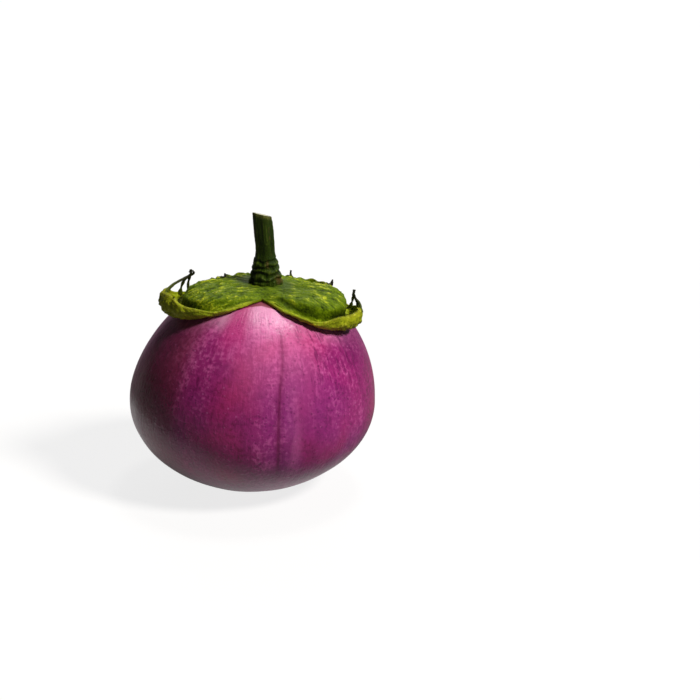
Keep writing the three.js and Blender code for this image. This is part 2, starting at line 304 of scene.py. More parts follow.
def closed_body(name, first_pole, rings, last_pole, values):
    """A closed skin over rings of points that run counter-clockwise as seen from the first pole. Each of
    values is a number or a vector for every point of the rings. A pole takes the mean of its ring."""
    count, around = rings.shape[:2]
    points = stand(np.concatenate([[first_pole], rings.reshape(-1, 3), [last_pole]]))
    i = np.arange(around)
    after = (i + 1) % around
    start = 1 + around * np.arange(count - 1)[:, None]
    quads = stacked(start + i, start + around + i, start + around + after, start + after)
    last = len(points) - 1
    final = 1 + around * (count - 1)
    first_fan = stacked(np.zeros_like(i), 1 + i, 1 + after)
    last_fan = stacked(np.full_like(i, last), final + after, final + i)
    faces = [*first_fan.tolist(), *quads.reshape(-1, 4).tolist(), *last_fan.tolist()]
    mesh = bpy.data.meshes.new(name)
    mesh.from_pydata(points.tolist(), [], faces)
    for label, value in values.items():
        set_attribute(mesh, label, value)
    mesh.shade_smooth()
    return added(name, mesh)


def set_attribute(mesh, label, value):
    """Keeps a number or a vector of each point of the rings as the mesh's attribute."""
    shape = value.shape[2:]
    flat = value.reshape(-1, *shape)
    whole = np.concatenate([[value[0].mean(0)], flat, [value[-1].mean(0)]]).astype(np.float32)
    kind = "FLOAT_VECTOR" if shape else "FLOAT"
    attribute = mesh.attributes.new(label, kind, "POINT")
    attribute.data.foreach_set("vector" if shape else "value", whole.ravel())


# Calyx outline

def spaced_bezier(points, count):
    """count + 1 points of a plane cubic curve, at equal lengths along it."""
    t = np.linspace(0, 1, 600)[:, None]
    a, b, c, d = (np.array(p, float) for p in points)
    curve = (1 - t) ** 3 * a + 3 * (1 - t) ** 2 * t * b + 3 * (1 - t) * t * t * c + t**3 * d
    length = np.append(0, np.cumsum(np.linalg.norm(np.diff(curve, axis=0), axis=1)))
    at = np.linspace(0, length[-1], count + 1)
    return np.stack([np.interp(at, length, curve[:, k]) for k in (0, 1)], axis=1)


def rotated(points, angle):
    """Plane points turned about the origin."""
    c, s = math.cos(angle), math.sin(angle)
    return points @ np.array([[c, s], [-s, c]])


def lobe_side(lobe, notch, width):
    """A side of a lobe from its notch to its tip: a cubic curve that swells to the side's half width."""
    azimuth, length = lobe[:2]
    off = math.radians(notch[0] - azimuth)
    start = (notch[1] * math.cos(off), notch[1] * math.sin(off))
    swell = (lerp(start[0], length, 0.36), width)
    shoulder = (length * 0.945, width)
    return spaced_bezier([start, swell, shoulder, (length, 0)], SIDE_STEPS)


def calyx_outline():
    """The blade's outline, round all lobes: its places in the flat layout, the lobe each is on, q, which is
    -1 and 1 at a lobe's notches and 0 at its tip, and the outward normal's azimuth."""
    places, lobes, q = [], [], []
    for k, lobe in enumerate(LOBES):
        rising = lobe_side(lobe, NOTCHES[k - 1], -lobe[2][0])
        falling = lobe_side(lobe, NOTCHES[k], lobe[2][1])[::-1]
        whole = np.concatenate([rising, falling[1:-1]])
        places.append(rotated(whole, math.radians(lobe[0])))
        lobes.append(np.full(len(whole), k))
        q.append((np.arange(len(whole)) - SIDE_STEPS) / SIDE_STEPS)
    place = np.concatenate(places)
    run = unit(np.roll(place, -1, axis=0) - place) + unit(place - np.roll(place, 1, axis=0))
    soft = sum(bell(k / 5) * np.roll(run, k, axis=0) for k in range(-12, 13))
    azimuth = np.arctan2(soft[:, 1], soft[:, 0]) - np.pi / 2
    return SimpleNamespace(place=place, lobe=np.concatenate(lobes), q=np.concatenate(q), azimuth=azimuth)


def calyx_rolls(edges):
    """Adds how far the margin rolls up and the roll's radius, least at a notch and most at a tip, with waves
    and small puckers. Adds the lobe's puff and the margin's distance from the centre."""
    tipward = 1 - np.abs(edges.q)
    count = len(tipward)
    around = 2 * np.pi * np.arange(count) / count
    roll, radius, edges.puff = np.array([lobe[3:] for lobe in LOBES])[edges.lobe].T
    ends = smooth(tipward, 0.42, 0.95)
    sides = lerp(NOTCH_ROLL, SIDE_ROLL, smooth(tipward, 0.1, 0.45))
    circle = stacked(np.cos(around), np.sin(around))
    pucker = ripples(circle * 9, 3) * smooth(tipward, 0.1, 0.6) * smooth(edges.puff, 0, 4)
    waves = WAVE_HEIGHT * np.sin(WAVE_COUNT * around) * smooth(tipward, 0.3, 0.7)
    edges.roll = lerp(sides, roll, ends) + waves + PUCKER_LENGTH * pucker
    edges.radius = lerp(SIDE_ROLL_RADIUS, radius, ends) * (1 + PUCKER_SHARE * pucker)
    outward = stacked(np.cos(edges.azimuth), np.sin(edges.azimuth))
    edges.reach_depth = (edges.place * outward).sum(axis=-1)
    return edges


EDGES = calyx_rolls(calyx_outline())


def calyx_layout(reach):
    """For each reach and outline point: the place in the flat layout, its distance from the centre, and how
    far the margin has rolled, as a length."""
    out = np.minimum(reach, 1)[:, None]
    x = EDGES.place[:, 0] * out
    y = EDGES.place[:, 1] * out
    rolled = np.maximum(reach - 1, 0)[:, None] * EDGES.roll
    return x, y, np.hypot(x, y), rolled


def calyx_inset(reach):
    """How far each place lies inside the blade's outline, and 0 on the rolled margin."""
    return np.maximum(1 - reach, 0)[:, None] * EDGES.reach_depth


def calyx_unrolled(reach):
    """Each place in the flat layout, the margin unrolled."""
    x, y, _, rolled = calyx_layout(reach)
    return x + rolled * np.cos(EDGES.azimuth), y + rolled * np.sin(EDGES.azimuth)


def swayed(points, amount, field, seed):
    """Points moved to and fro along all their axes at once, by a random field."""
    return points + amount * ripples(field, seed)[..., None]


def calyx_puff(reach):
    """How much thicker the flesh is: it swells over each lobe, from a width inside its margin and past the
    stem. It rises halfway between a soft S and a quarter of a sine, which is steeper at its foot."""
    distance = calyx_layout(reach)[2]
    inset = calyx_inset(reach)
    quarter = np.sin(np.pi / 2 * np.clip(inset / PUFF_MARGIN, 0, 1))
    rise = lerp(smooth(inset, 0.5, PUFF_MARGIN), quarter, 0.5)
    return EDGES.puff * rise * smooth(distance, PUFF_FROM, PUFF_TO)


def calyx_lengthwise(reach):
    """Places laid out along each lobe, in ribs' widths across it and ribs' lengths along it."""
    flat_x, flat_y = calyx_unrolled(reach)
    axis = np.radians([lobe[0] for lobe in LOBES])[EDGES.lobe]
    along = flat_x * np.cos(axis) + flat_y * np.sin(axis)
    across = flat_y * np.cos(axis) - flat_x * np.sin(axis)
    above = EDGES.lobe + calyx_puff(reach) / RIB_WIDTH
    return stacked(across / RIB_WIDTH, along / RIB_LENGTH, above)


def calyx_relief(reach):
    """Height of the leather's relief: fine veins that fan out from the stem, ribs along each lobe, wrinkles
    all over, the crumpled skin of the rolled tips, and the valley inside the rolled margin."""
    x, y, distance, _ = calyx_layout(reach)
    azimuth = np.arctan2(y, x)
    flat = stacked(*calyx_unrolled(reach), calyx_puff(reach))
    ray = stacked(np.cos(azimuth), np.sin(azimuth), distance / 40)
    tipward = 1 - np.abs(EDGES.q)
    veins = ridged(swayed(ray * [4, 4, 1.3], 0.07, flat / 9, 11), 21)
    ribs = ridged(swayed(calyx_lengthwise(reach), 0.16, flat / 8, 12), 22) * smooth(tipward, 0.04, 0.3)
    wrinkles = ridged(swayed(flat / WRINKLE_WIDTH, 0.22, flat / 8, 13), 23)
    crumple = ridged(swayed(flat / CRUMPLE_WIDTH, 0.15, flat / 5, 14), 24)
    away = smooth(distance, CALYX_SEAT - 1, 20)
    tip = smooth(tipward, 0.5, 0.9) * smooth(reach[:, None], 0.95, 1.2) * smooth(EDGES.puff, 0, 4)
    inset = calyx_inset(reach)
    veins = veins * lerp(1, smooth(inset, 1, 8), smooth(EDGES.puff, 0, 4))
    ribs = ribs * (1 - 0.7 * smooth(tipward, 0.5, 0.9) * (1 - smooth(inset, 2, 9)))
    groove = bell((inset - GROOVE_INSET) / GROOVE_WIDTH) * smooth(tipward, 0.05, 0.3)
    groove = groove * smooth(distance, 16, 24) * smooth(EDGES.puff, 4, 6)
    relief = (FINE_VEIN_HEIGHT * veins + RIB_HEIGHT * ribs) * away + WRINKLE_HEIGHT * wrinkles
    relief = relief + CRUMPLE_HEIGHT * (crumple - 0.5) * tip
    return relief * (1 - 0.5 * groove) - GROOVE_DEPTH * groove


def calyx_points(reach, face, relief=None):
    """The calyx: reach 0 is its centre, 1 the blade's outline, and from there to 2 the margin rolls up off
    the fruit on a circle of the roll's radius. Face is 1 on top, -1 underneath and 0 in between."""
    x, y, distance, rolled = calyx_layout(reach)
    angle = (rolled / EDGES.radius)[..., None]
    radius = EDGES.radius[:, None]
    span = np.linalg.norm(EDGES.place, axis=1)
    taper = smooth((distance - CALYX_SEAT) / (span - CALYX_SEAT), 0, 1.1)
    fan = VEIN_HEIGHT * np.cos(2 * np.pi * VEIN_FANS * EDGES.q) * smooth(distance, CALYX_SEAT, 22)
    thick = lerp(CALYX_CROWN, CALYX_MARGIN, taper) + fan * (2 - reach[:, None]) / 2 + calyx_puff(reach)
    thick = thick[..., None]
    normal, along = frame_under(x, y, EDGES.azimuth)
    c, s = np.cos(angle), np.sin(angle)
    middle = skin_under(x, y) + normal * (SKIN_GAP + thick / 2 + radius * (1 - c)) + along * radius * s
    raised = 0 if relief is None else relief[..., None]
    return middle + face * (thick / 2 + raised) * (normal * c - along * s)


def calyx_rings():
    """Reaches of the sheet's rings, from beside the centre to the margin's edge."""
    blade = 1 - (1 - np.arange(1, BLADE_RINGS + 1) / BLADE_RINGS) ** 1.3
    roll = 1 + np.arange(1, ROLL_RINGS + 1) / ROLL_RINGS
    return np.concatenate([blade, roll])


def both_faces(top, edge, below):
    """A value of the top's rings, the edge's ring and the underside's rings, from centre to centre."""
    return np.concatenate([top, edge, below[::-1]])


def make_calyx():
    """The calyx as a sheet with two faces. Its edge is rounded by one ring in the middle of its thickness."""
    reach = calyx_rings()
    relief = calyx_relief(reach)
    off_skin = smooth(reach, 1.0, 1.25)[:, None]
    top = calyx_points(reach, 1, relief)
    below = calyx_points(reach, -1, relief * off_skin)
    edge = calyx_points(reach[-1:] + EDGE_ROUND / SIDE_ROLL, 0)
    same = {
        "run": calyx_lengthwise(reach),
        "relief": relief,
        "reach": np.broadcast_to(reach[:, None], relief.shape),
        "tipward": np.broadcast_to(1 - np.abs(EDGES.q), relief.shape),
    }
    values = {label: both_faces(value, value[-1:], value) for label, value in same.items()}
    face = np.ones_like(relief)
    values["topside"] = both_faces(face, 0 * face[-1:], -face)
    poles = [calyx_points(np.zeros(1), side)[0, 0] for side in (1, -1)]
    return closed_body("calyx_leather", poles[0], both_faces(top, edge, below), poles[1], values)


# Dried threads

def smooth_line(points, count):
    """A Catmull-Rom line through points, whose tangent at each is half the step between its neighbours."""
    p = np.array([2 * points[0] - points[1], *points, 2 * points[-1] - points[-2]])
    at = np.linspace(0, len(points) - 1 - 1e-9, count)
    k = at.astype(int)
    t = (at - k)[:, None]
    a, b, c, d = p[k], p[k + 1], p[k + 2], p[k + 3]
    return b + t * (c - a) / 2 + t**2 * (a - 2.5 * b + 2 * c - d / 2) + t**3 * (1.5 * (b - c) + (d - a) / 2)


def tube_rings(line, radii, sideways, sides):
    """Circles about a line: each lies across the line's run, on axes made from one sideways direction."""
    run = unit(np.gradient(line, axis=0))
    first = unit(np.cross(run, sideways))
    second = np.cross(run, first)
    a = -2 * np.pi * np.arange(sides) / sides
    across = first[:, None] * np.cos(a)[:, None] + second[:, None] * np.sin(a)[:, None]
    return line[:, None] + radii[:, None, None] * across


def thread_lines():
    """Each thread from its hooked end to its root: it leaves the rolled margin, bows outwards, and draws
    together with its neighbours over the tip."""
    draw = seeded(5)
    lines = []
    for k, (count, first, last, inwards, rise) in enumerate(THREADS):
        tip = (2 * k + 1) * SIDE_STEPS
        shares = [i / max(count - 1, 1) for i in range(count)]
        roots = [tip + round(lerp(first, last, share)) * SIDE_STEPS // 9 for share in shares]
        azimuth = math.radians(LOBES[k][0])
        inward = np.array([-math.cos(azimuth), -math.sin(azimuth), 0])
        apex = calyx_points(np.array([2.0]), 0)[0, roots].mean(0) + inward * inwards
        apex[2] += rise
        for start in calyx_points(np.array([1.88]), 0)[0, roots]:
            neck = apex + (np.array([draw(), draw(), draw()]) - 0.5) * THREAD_SCATTER
            bow = lerp(start, neck, 0.45) - inward * THREAD_BOW * draw()
            bow[2] += 0.8 * draw()
            end = neck - inward * 0.4 * THREAD_HOOK * draw()
            end[2] += THREAD_HOOK * (0.6 + 0.4 * draw())
            sideways = np.array([-inward[1], inward[0], 0])
            lines.append((smooth_line([end, neck, bow, start], THREAD_STEPS), sideways))
    return lines


def make_threads():
    """All threads as one piece: round, tapered to their ends, a little knotted, and wider at their roots."""
    made = []
    share = np.linspace(0, 1, THREAD_STEPS)
    for k, (line, sideways) in enumerate(thread_lines()):
        knots = ripples(stacked(share * 5, 0 * share + 3 * k), 31)
        radii = lerp(THREAD_POINT, THREAD_ROOT, share) * (1 + 0.13 * knots) + 0.45 * smooth(share, 0.8, 1)
        radii[0] *= 0.5
        rings = tube_rings(line, radii, sideways, THREAD_SIDES)
        dryness = np.broadcast_to(1 - share[:, None], rings.shape[:2])
        made.append(closed_body(f"thread_{k}", line[0], rings, line[-1], {"dryness": dryness}))
    bpy.ops.object.select_all(action="DESELECT")
    for piece in made:
        piece.select_set(True)
    bpy.context.view_layer.objects.active = made[0]
    bpy.ops.object.join()
    made[0].name = "dried_threads"
    return made[0]


# Stem

def stem_radius(height, theta):
    """The stem's radius: soft steps between the radii of its profile, sagging wrinkles low down, five faint
    ridges above them, fine lengthwise ribs and a pleated foot."""
    at = height / STEM_LENGTH * (len(STEM_RADII) - 1)
    step = np.minimum(at.astype(int), len(STEM_RADII) - 2)
    radii = np.array(STEM_RADII)
    radius = lerp(radii[step], radii[step + 1], smooth(at - step, 0, 1))
    sag = 0.09 * np.cos(theta + 1.9) + 0.03 * np.cos(3 * theta + 1)
    along = (height - STEM_RING_FROM) / (STEM_RING_TO - STEM_RING_FROM) + sag
    inside = smooth(along, 0, 0.1) * (1 - smooth(along, 0.85, 1))
    along = along + 0.035 * ripples(stacked(np.cos(theta), np.sin(theta), height / 6), 44)
    wrinkle = STEM_RING_HEIGHT * np.cos(2 * np.pi * STEM_RING_COUNT * along) * inside
    circle = stacked(np.cos(theta), np.sin(theta), height / 30)
    ribs = STEM_RIB_HEIGHT * (ridged(circle * [7, 7, 1.5], 41) + 0.5 * ripples(circle * [9, 9, 16], 42))
    pleats = STEM_PLEAT_HEIGHT * ripples(circle[..., :2] * 1.6, 43) * (1 - smooth(height, 0.5, 7))
    ridge = STEM_RIDGE_HEIGHT * np.cos(STEM_RIDGE_COUNT * theta) * smooth(height, 4, 14)
    return radius + wrinkle + ridge + ribs + pleats


def stem_section(height, theta, share=1.0):
    """The stem at a height: its section's radius times share, about a line that bends, on a plane that slopes
    towards the cut."""
    foot = skin_under(0.0, 0.0) + [0, 0, CALYX_CROWN + 2 * SKIN_GAP]
    up = height / STEM_LENGTH
    r = stem_radius(height, theta) * share
    x = r * np.cos(theta)
    y = r * np.sin(theta)
    slope = (STEM_CUT_SLOPE_X * x + STEM_CUT_SLOPE_Y * y) * smooth(up, 0.55, 1)
    return stacked(foot[0] + STEM_BEND_X * up**STEM_BEND_POWER + x, foot[1] + y, foot[2] + height + slope)


def stem_footing(radius, theta):
    """A ring of the stem's underside, pressed a little into the calyx."""
    x = radius * np.cos(theta)
    y = radius * np.sin(theta)
    normal = frame_under(x, y, theta)[0]
    return skin_under(x, y) + normal * (CALYX_CROWN + SKIN_GAP - STEM_PRESS)


def make_stem():
    """The stem from its cut face, with a rounded rim, a sunken ring and a domed pith, to its foot."""
    theta = 2 * np.pi * np.arange(STEM_AROUND) / STEM_AROUND
    shares = np.linspace(0.03, 0.98, 26)[:, None]
    grid, wide = np.meshgrid(theta, shares)
    cut = stem_section(np.full_like(grid, STEM_LENGTH), grid, wide)
    cut[..., 2] += 0.22 * bell(wide / 0.55) - 0.3 * bell((wide - 0.8) / 0.08) - 0.25 * smooth(wide, 0.93, 1)
    heights = STEM_LENGTH * (1 - np.arange(STEM_RINGS) / STEM_RINGS)
    round_grid, height = np.meshgrid(theta, heights)
    rim = 1 - 0.035 * smooth(height, STEM_LENGTH - 0.5, STEM_LENGTH)
    wall = stem_section(height, round_grid, rim)
    foot = [stem_footing(radius, theta) for radius in (stem_radius(0 * theta, theta), STEM_RADII[0] / 2)]
    rings = np.concatenate([cut, wall, foot])
    bark = stacked(np.cos(round_grid), np.sin(round_grid), height / 10)
    wood = stacked(np.cos(grid) * wide, np.sin(grid) * wide, 0 * grid + 9)
    smooth_radius = np.interp(height, np.linspace(0, STEM_LENGTH, len(STEM_RADII)), STEM_RADII)
    relief = stem_radius(height, round_grid) - smooth_radius
    foot_zero = 0 * height[-2:]
    values = {
        "bark": np.concatenate([wood, bark, bark[-2:]]),
        "height": np.concatenate([0 * grid + STEM_LENGTH, height, foot_zero]),
        "cut": np.concatenate([1 - wide + 0 * grid, 0 * height, foot_zero]),
        "relief": np.concatenate([0 * grid, relief, foot_zero]),
    }
    return closed_body("cut_stem", cut[0].mean(0), rings, skin_under(0.0, 0.0) + [0, 0, CALYX_CROWN], values)


# Fruit

def below_calyx(theta, u):
    """Distance along the skin from the calyx's centre, and how far outside the blade's outline it is."""
    power = CROWN_POWER + CROWN_POWER_SIDE * np.cos(theta)
    share = np.clip(np.sin(u), 0, 1) ** (2 / power)
    down = FRUIT_RADIUS * np.arcsin(share)
    down = np.where(u < np.pi / 2, down, np.pi * FRUIT_RADIUS - down)
    x = down * np.cos(theta) - CALYX_CENTRE_X
    y = down * np.sin(theta)
    edge_angle = np.arctan2(EDGES.place[:, 1], EDGES.place[:, 0])
    order = np.argsort(edge_angle)
    edge_distance = np.linalg.norm(EDGES.place, axis=1)[order]
    margin = np.interp(np.arctan2(y, x), edge_angle[order], edge_distance, period=2 * np.pi)
    distance = np.hypot(x, y)
    return distance, distance - margin


def make_fruit():
    """The fruit, with faint ribs and soft lumps on its skin."""
    theta, u = fruit_grid()
    skin = skin_at(theta, u)
    outward = unit(skin * [1, 1, 1.2])
    around = stacked(np.cos(theta), np.sin(theta), u * 0.5)
    lumps = LUMP_HEIGHTS[0] * ripples(around * [1.6, 1.6, 0.8], 51)
    lumps = lumps + LUMP_HEIGHTS[1] * ripples(around * [4.5, 4.5, 0.7], 52)
    skin = skin + outward * ((lumps - lumps.max() - LUMP_HEIGHTS[0]) * np.sin(u) ** 2)[..., None]
    distance, below = below_calyx(theta, u)
    values = {
        "meridian": stacked(np.cos(theta), np.sin(theta), u),
        "azimuth": turn(0, theta),
        "down": distance,
        "below": below,
    }
    poles = [skin_at(np.zeros(1), np.array([end]))[0] for end in (0.0, np.pi)]
    return closed_body("fruit_skin", poles[0], skin, poles[1], values)


# Shader nodes

def node(tree, kind, inputs=None, **settings):
    """A node of that kind. Each input is a value or another node's output."""
    made = tree.nodes.new("ShaderNode" + kind)
    for name, value in settings.items():
        setattr(made, name, value)
    for name, value in (inputs or {}).items():
        if isinstance(value, bpy.types.NodeSocket):
            tree.links.new(value, made.inputs[name])
        else:
            made.inputs[name].default_value = value
    return made


def fed(kind, inputs, **settings):
    """A node of that kind in the tree that its inputs come from. One input at least is another's output."""
    sockets = [value for value in inputs.values() if isinstance(value, bpy.types.NodeSocket)]
    return node(sockets[0].id_data, kind, inputs, **settings)


def math_node(way, a, b=0):
    """The result of a sum of that kind on one or two values."""
    return fed("Math", {0: a, 1: b}, operation=way).outputs[0]


def plus(*values):
    """The sum of all the values."""
    return reduce(lambda a, b: math_node("ADD", a, b), values)


def times(*values):
    """The product of all the values."""
    return reduce(lambda a, b: math_node("MULTIPLY", a, b), values)


def weighted(*parts):
    """The sum of values, each times the weight beside it."""
    return plus(*(times(value, weight) for value, weight in parts))


def mixed(mask, under, over):
    """The colour under, with the colour over laid on it where the mask is 1."""
    return fed("Mix", {0: mask, 6: under, 7: over}, data_type="RGBA").outputs[2]


def ranged(value, start, end, low=0, high=1):
    """A soft step of a value, from low at start to high at end."""
    inputs = {"Value": value, "From Min": start, "From Max": end, "To Min": low, "To Max": high}
    return fed("MapRange", inputs, interpolation_type="SMOOTHSTEP").outputs["Result"]


def own(tree, label, kind="Fac"):
    """The piece's own attribute of that name: Fac gives a number, and Vector a vector."""
    return node(tree, "Attribute", attribute_name=label).outputs[kind]


def own_place(tree):
    """The place in the piece's own coordinates, in metres."""
    return node(tree, "TexCoord").outputs["Object"]


def scaled(vector, scale):
    """A vector with each part times its own scale."""
    return fed("Mapping", {"Vector": vector, "Scale": scale}).outputs["Vector"]


def rgb(red, green, blue):
    """A colour given as on screen, 0 to 255, as the linear colour that a shader takes."""
    share = np.array([red, green, blue]) / 255
    linear = np.where(share <= 0.04045, share / 12.92, ((share + 0.055) / 1.055) ** 2.4)
    return (*linear.tolist(), 1)


def new_group(name, inputs, output):
    """A shader node group: its tree, the sockets of its inputs and that of its one output. A label and a kind
    stand for each."""
    tree = bpy.data.node_groups.new(name, "ShaderNodeTree")
    for label, kind in inputs.items():
        tree.interface.new_socket(name=label, in_out="INPUT", socket_type="NodeSocket" + kind)
    tree.interface.new_socket(name=output[0], in_out="OUTPUT", socket_type="NodeSocket" + output[1])
    return tree, tree.nodes.new("NodeGroupInput").outputs, tree.nodes.new("NodeGroupOutput").inputs[0]


def mottle_group():
    """Clouds of a pigment: a noise cut to a soft mask between two levels."""
    takes = {"Vector": "Vector", "Detail": "Float", "Low": "Float", "High": "Float"}
    tree, given, result = new_group("mottle", takes, ("Mask", "Float"))
    inputs = {"Vector": given["Vector"], "Scale": 1, "Detail": given["Detail"], "Roughness": 0.55}
    noise = fed("TexNoise", inputs).outputs[0]
    tree.links.new(ranged(noise, given["Low"], given["High"]), result)
    return tree


def flecks_group():
    """Small round flecks, one in each cell that a drawn number keeps, each with its own size."""
    takes = {"Vector": "Vector", "Size": "Float", "Share": "Float"}
    tree, given, result = new_group("flecks", takes, ("Mask", "Float"))
    inputs = {"Vector": given["Vector"], "Scale": 1, "Randomness": 1}
    cells = fed("TexVoronoi", inputs).outputs
    drawn = fed("SeparateColor", {"Color": cells["Color"]}).outputs
    size = times(given["Size"], plus(drawn[0], 0.4))
    spot = ranged(cells["Distance"], size, times(size, 0.45))
    kept = math_node("LESS_THAN", drawn[1], given["Share"])
    tree.links.new(times(spot, kept), result)
    return tree


def tones_group():
    """Three tones of one colour, laid out by a mask from dark through middle to light."""
    takes = {"Mask": "Float", "Dark": "Color", "Middle": "Color", "Light": "Color"}
    tree, given, result = new_group("tones", takes, ("Color", "Color"))
    lower = mixed(ranged(given["Mask"], 0, 0.5), given["Dark"], given["Middle"])
    tree.links.new(mixed(ranged(given["Mask"], 0.5, 1), lower, given["Light"]), result)
    return tree


MOTTLE = mottle_group()
FLECKS = flecks_group()
TONES = tones_group()


def placed(group, **inputs):
    """The one output of a node group, with these inputs."""
    return fed("Group", inputs, node_tree=group).outputs[0]


def mottled(vector, scale, detail, low, high):
    """A mask of clouds along a vector: their scale and detail, and the levels at which it is 0 and 1."""
    return placed(MOTTLE, Vector=scaled(vector, scale), Detail=detail, Low=low, High=high)


def flecked(vector, scale, size, share):
    """A mask of flecks along a vector: their size in cells, and the share of cells that has one."""
    return placed(FLECKS, Vector=scaled(vector, scale), Size=size, Share=share)


def toned(mask, dark, middle, light):
    """Three tones, each given as on screen, laid out by a mask."""
    return placed(TONES, Mask=mask, Dark=rgb(*dark), Middle=rgb(*middle), Light=rgb(*light))


def tinted(colour, tint, *masks):
    """A colour with a tint, given as on screen, laid on it where the product of the masks is 1."""
    return mixed(times(*masks), colour, rgb(*tint))


def new_material(name):
    """A material with a bare Principled shader, as its tree and that shader."""
    material = bpy.data.materials.new(name)
    material.use_nodes = True
    tree = material.node_tree
    tree.nodes.clear()
    shader = node(tree, "BsdfPrincipled")
    out = node(tree, "OutputMaterial")
    tree.links.new(shader.outputs[0], out.inputs["Surface"])
    return material, tree, shader


def coat(shader, colour, rough, height, depth):
    """Gives a shader its colour, its roughness, and a bump, depth metres high where height is 1."""
    tree = shader.id_data
    bump = node(tree, "Bump", {"Height": height, "Distance": depth, "Strength": 1})
    tree.links.new(colour, shader.inputs["Base Color"])
    tree.links.new(rough, shader.inputs["Roughness"])
    tree.links.new(bump.outputs[0], shader.inputs["Normal"])


# Skin, in layers. Distances down the skin and from the calyx are in mm, and widths round it in radians.

def skin_values(tree):
    """What the skin's layers share: its attributes, and masks of streaks, fibres, clouds and grain."""
    meridian = own(tree, "meridian", "Vector")
    place = own_place(tree)
    return SimpleNamespace(
        meridian=meridian,
        place=place,
        azimuth=own(tree, "azimuth"),
        down=own(tree, "down"),
        below=own(tree, "below"),
        streaks=mottled(meridian, (11, 11, 1.8), 3, 0.3, 0.7),
        fibres=mottled(meridian, (46, 46, 7), 3, 0.28, 0.72),
        clouds=mottled(place, (42, 42, 34), 4, 0.3, 0.7),
        grain=mottled(place, (520, 520, 520), 3, 0.32, 0.68),
    )


def near_azimuth(on, degrees, outer, inner, most=1):
    """A soft band about an azimuth: 0 beyond its outer half width, and most within the inner one."""
    off = math_node("ABSOLUTE", math_node("SUBTRACT", on.azimuth, math.radians(degrees)))
    return ranged(off, outer, inner, 0, most)


def skin_mask(on):
    """Where the skin is lighter: in bands, streaks, fibres, clouds and grain, and towards the shoulder,
    partly as painted light from above.
    """
    bands = mottled(on.meridian, (3, 3, 0.7), 2, 0.3, 0.7)
    # The shoulder ramp: partly the skin's own paler tone there, partly painted light standing in for stronger
    # light from above
    upper = ranged(on.down, 80, 40, -0.06, 0.25)
    fine = ((on.streaks, 0.18), (on.fibres, 0.12), (on.clouds, 0.22), (on.grain, 0.36))
    return weighted((bands, 0.22), (upper, 1), *fine)


def skin_flesh(on, mask):
    """Three tones of magenta, with clouds of violet and of a redder pink, and dark blots."""
    flesh = toned(mask, (92, 13, 61), (143, 35, 102), (195, 86, 147))
    violet = mottled(on.place, (23, 23, 17), 2, 0.45, 0.7)
    flesh = tinted(flesh, (116, 38, 116), violet, 0.45)
    red = mottled(on.place, (-27, 27, 21), 2, 0.48, 0.72)
    flesh = tinted(flesh, (172, 40, 88), red, 0.5)
    blots = mottled(on.place, (120, -120, 90), 3, 0.5, 0.66)
    return tinted(flesh, (110, 26, 84), blots, 0.3)


def skin_shoulder(on, flesh):
    """The shoulder, pale to a ragged end, beside the calyx and down the front, and a blush left of the front.
    The pale skin's mask comes with it."""
    uneven = weighted((plus(on.clouds, -0.5), 8), (plus(on.streaks, -0.5), 5))
    ragged = plus(on.down, uneven)
    shoulder = ranged(ragged, 48, 26, 0, 0.85)
    beside = ranged(plus(on.below, times(uneven, 0.6)), 14, -6, 0, 0.55)
    pale = math_node("MAXIMUM", shoulder, beside)
    pale = times(pale, ranged(on.azimuth, math.radians(-120), math.radians(-106), 1, 0.9))
    front = near_azimuth(on, -80, 0.6, 0.15)
    flesh = tinted(flesh, (226, 120, 172), front, ranged(on.down, 96, 44, 0, 0.34))
    flesh = tinted(flesh, (224, 158, 190), pale)
    blush = times(near_azimuth(on, -107, 0.24, 0.05), ranged(on.down, 19, 28))
    flesh = tinted(flesh, (178, 44, 112), blush, ranged(ragged, 62, 42, 0, 0.75))
    return flesh, pale


def skin_tints(on, flesh):
    """A brown painted reflection on the shaded far left, painted shade on the upper right under the right
    lobe, and pink painted bounce light round the right of the foot.
    """
    # Painted reflection: a brown tint on the shaded left flank
    brown = near_azimuth(on, -148, 0.5, 0.2, 0.6)
    flesh = tinted(flesh, (98, 36, 36), brown, ranged(on.down, 25, 60))
    # Painted shade: the upper right limb darkened as if under the right lobe's curled tip
    painted_shade_under_lobe = near_azimuth(on, -14, 0.45, 0.2, 0.6)
    flesh = tinted(flesh, (88, 22, 74), painted_shade_under_lobe, ranged(on.down, 84, 56))
    # Painted bounce light: a lighter pink on the lower right, as if lit from the floor
    foot = times(ranged(on.down, 116, 150, 0, 0.5), ranged(on.azimuth, -1.7, -1.2))
    return tinted(flesh, (216, 116, 168), foot, ranged(on.azimuth, 1.6, 0.4))


def skin_ripples(on, flesh):
    """Dark lengthwise ripples, strongest on the upper right. Their mask comes with it."""
    ripple = mottled(on.meridian, (27, 27, 5), 3, 0.52, 0.66)
    right = times(near_azimuth(on, -45, 0.5, 0.2), ranged(on.down, 84, 60))
    ripple = times(ripple, plus(times(right, 0.4), 0.12))
    return tinted(flesh, (84, 14, 66), ripple), ripple


def skin_crease(on, flesh):
    """The front crease's painted shade, a dark line which bends a little on its way down, and a paler band on
    its right. The line's mask comes with it."""
    upper_bend = ranged(on.down, 45, 85, math.radians(2.2), math.radians(-1.3))
    lower_bend = ranged(on.down, 92, 130, 0, math.radians(2))
    crease = plus(upper_bend, lower_bend, math.radians(CREASES[0][0]))
    off = math_node("ABSOLUTE", math_node("SUBTRACT", on.azimuth, crease))
    narrow = ranged(off, math.radians(1.1), math.radians(0.2), 0, 0.3)
    wide = ranged(off, math.radians(3.6), 0, 0, 0.4)
    ends = (ranged(on.down, 38, 52), ranged(on.down, 136, 108))
    line = times(plus(narrow, wide), *ends, ranged(on.clouds, 0, 0.8, 0.6, 1))
    paler = times(near_azimuth(on, -70.5, 0.1, 0.02), ranged(on.down, 66, 96, 0, 0.36))
    flesh = tinted(flesh, (196, 98, 156), paler, ranged(on.streaks, 0, 0.9, 0.2, 1))
    # Painted shade: the dark line laid along the crease
    return tinted(flesh, (92, 14, 56), line), line


